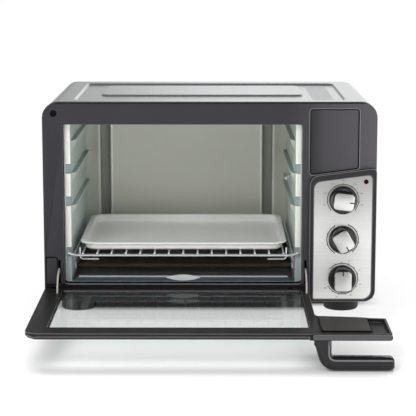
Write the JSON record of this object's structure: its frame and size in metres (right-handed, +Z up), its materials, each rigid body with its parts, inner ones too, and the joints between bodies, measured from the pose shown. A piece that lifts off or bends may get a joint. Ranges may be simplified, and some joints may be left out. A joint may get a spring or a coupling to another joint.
{
  "type": "air fryer toaster oven",
  "caption": "Countertop oven with a drop-down glass door, a circulating fan, heating rods, a slide-out rack, pan and crumb tray, and dials on a side panel.",
  "frame": {"origin": "on the table that the feet stand on, under the middle of the part with its door open", "axes": "+X to the right seen from the front, +Y towards the back, +Z up"},
  "size_m": [0.47, 0.616, 0.313],
  "materials": {
    "casing_sheet": "satin silver coating on sheet steel",
    "back_sheet": "plain grey sheet steel",
    "frame_plastic": "fine-textured charcoal moulding",
    "housing_plastic": "satin charcoal moulding",
    "brushed_plate": "brushed plate",
    "lamp_lens": "clear dark red lens",
    "lamp_glass": "small neon lamp",
    "liner_sheet": "aluminised liner sheet",
    "rod_metal": "heat-tinted steel sheath",
    "ceramic": "white ceramic",
    "duct_sheet": "galvanised sheet",
    "motor_metal": "dark motor shell",
    "fan_metal": "stamped fan wheel",
    "steel": "bright steel",
    "unit_plastic": "switch bodies",
    "wire_sleeve": "glass-sleeved wire",
    "black_rubber": "black rubber",
    "foot_plastic": "black moulded feet",
    "knob_black": "gloss black",
    "knob_silver": "satin silver cap",
    "door_plastic": "satin black moulding",
    "handle_plastic": "gloss black moulding",
    "door_glass": "clear tempered glass",
    "chrome_wire": "chromed wire",
    "pan_sheet": "plain aluminium",
    "tray_sheet": "aluminised tray"
  },
  "bodies": {
    "cabinet": {"outer_wrap": "casing_sheet", "back_panel": "back_sheet", "bottom_plate": "back_sheet", "front_frame": "frame_plastic", "door_bumper": "black_rubber", "hinge_pin_left": "steel", "hinge_pin_right": "steel", "control_housing": "housing_plastic", "control_plate": "brushed_plate", "indicator_lens": "lamp_lens", "indicator_lamp": "lamp_glass", "cavity_left_wall": "liner_sheet", "cavity_right_wall": "liner_sheet", "cavity_back_wall": "liner_sheet", "cavity_roof": "liner_sheet", "cavity_floor": "liner_sheet", "upper_front_element": "rod_metal", "upper_rear_element": "rod_metal", "lower_front_element": "rod_metal", "lower_rear_element": "rod_metal", "element_insulators": "ceramic", "fan_duct": "duct_sheet", "fan_motor": "motor_metal", "thermostat": "unit_plastic", "sensor_bulb": "steel", "mode_switch": "unit_plastic", "timer": "unit_plastic", "terminal_block": "ceramic", "wiring_harness": "wire_sleeve", "thermal_fuse": "unit_plastic", "cord_gland": "black_rubber", "foot_front_left": "foot_plastic", "foot_front_right": "foot_plastic", "foot_rear_left": "foot_plastic", "foot_rear_right": "foot_plastic", "foot_screws": "steel", "case_screws": "steel"},
    "door": {"door_frame": "door_plastic", "door_glass": "door_glass", "glass_retainer": "door_plastic", "handle_cover": "door_plastic", "door_handle": "handle_plastic", "handle_screws": "steel", "door_stay_left": "steel", "door_stay_right": "steel"},
    "rack": {"wire_rack": "chrome_wire"},
    "pan": {"bake_pan": "pan_sheet"},
    "tray": {"crumb_tray": "tray_sheet"},
    "temperature_dial": {"temperature_shaft": "steel", "temperature_knob": "knob_black", "temperature_cap": "knob_silver"},
    "mode_dial": {"mode_shaft": "steel", "mode_knob": "knob_black", "mode_cap": "knob_silver"},
    "timer_dial": {"timer_shaft": "steel", "timer_knob": "knob_black", "timer_cap": "knob_silver"},
    "fan": {"fan_shaft": "steel", "fan_impeller": "fan_metal"}
  },
  "joints": [
    {"name": "door_hinge", "type": "hinge", "parent": "cabinet", "child": "door", "pos_m": [0, -0.0435, 0.0445], "axis": [-1, 0, 0], "range_deg": [0, 90]},
    {"name": "crumb_tray_slide", "type": "slide", "parent": "cabinet", "child": "tray", "axis": [0, 1, 0], "range_m": [-0.24, 0]},
    {"name": "rack_slide", "type": "slide", "parent": "cabinet", "child": "rack", "axis": [0, 1, 0], "range_m": [-0.18, 0]},
    {"name": "pan_lift", "type": "slide", "parent": "rack", "child": "pan", "axis": [0, 0, 1], "range_m": [0, 0.1]},
    {"name": "temperature_turn", "type": "hinge", "parent": "cabinet", "child": "temperature_dial", "pos_m": [0.1879, -0.047, 0.1765], "axis": [0, 1, 0], "range_deg": [-230, 40]},
    {"name": "mode_turn", "type": "hinge", "parent": "cabinet", "child": "mode_dial", "pos_m": [0.1879, -0.047, 0.1199], "axis": [0, 1, 0], "range_deg": [-300, 0]},
    {"name": "timer_turn", "type": "hinge", "parent": "cabinet", "child": "timer_dial", "pos_m": [0.1879, -0.047, 0.0633], "axis": [0, 1, 0], "range_deg": [-50, 270]},
    {"name": "fan_spin", "type": "hinge", "parent": "cabinet", "child": "fan", "pos_m": [0.13, 0.072, 0.2065], "axis": [1, 0, 0], "continuous": true}
  ]
}
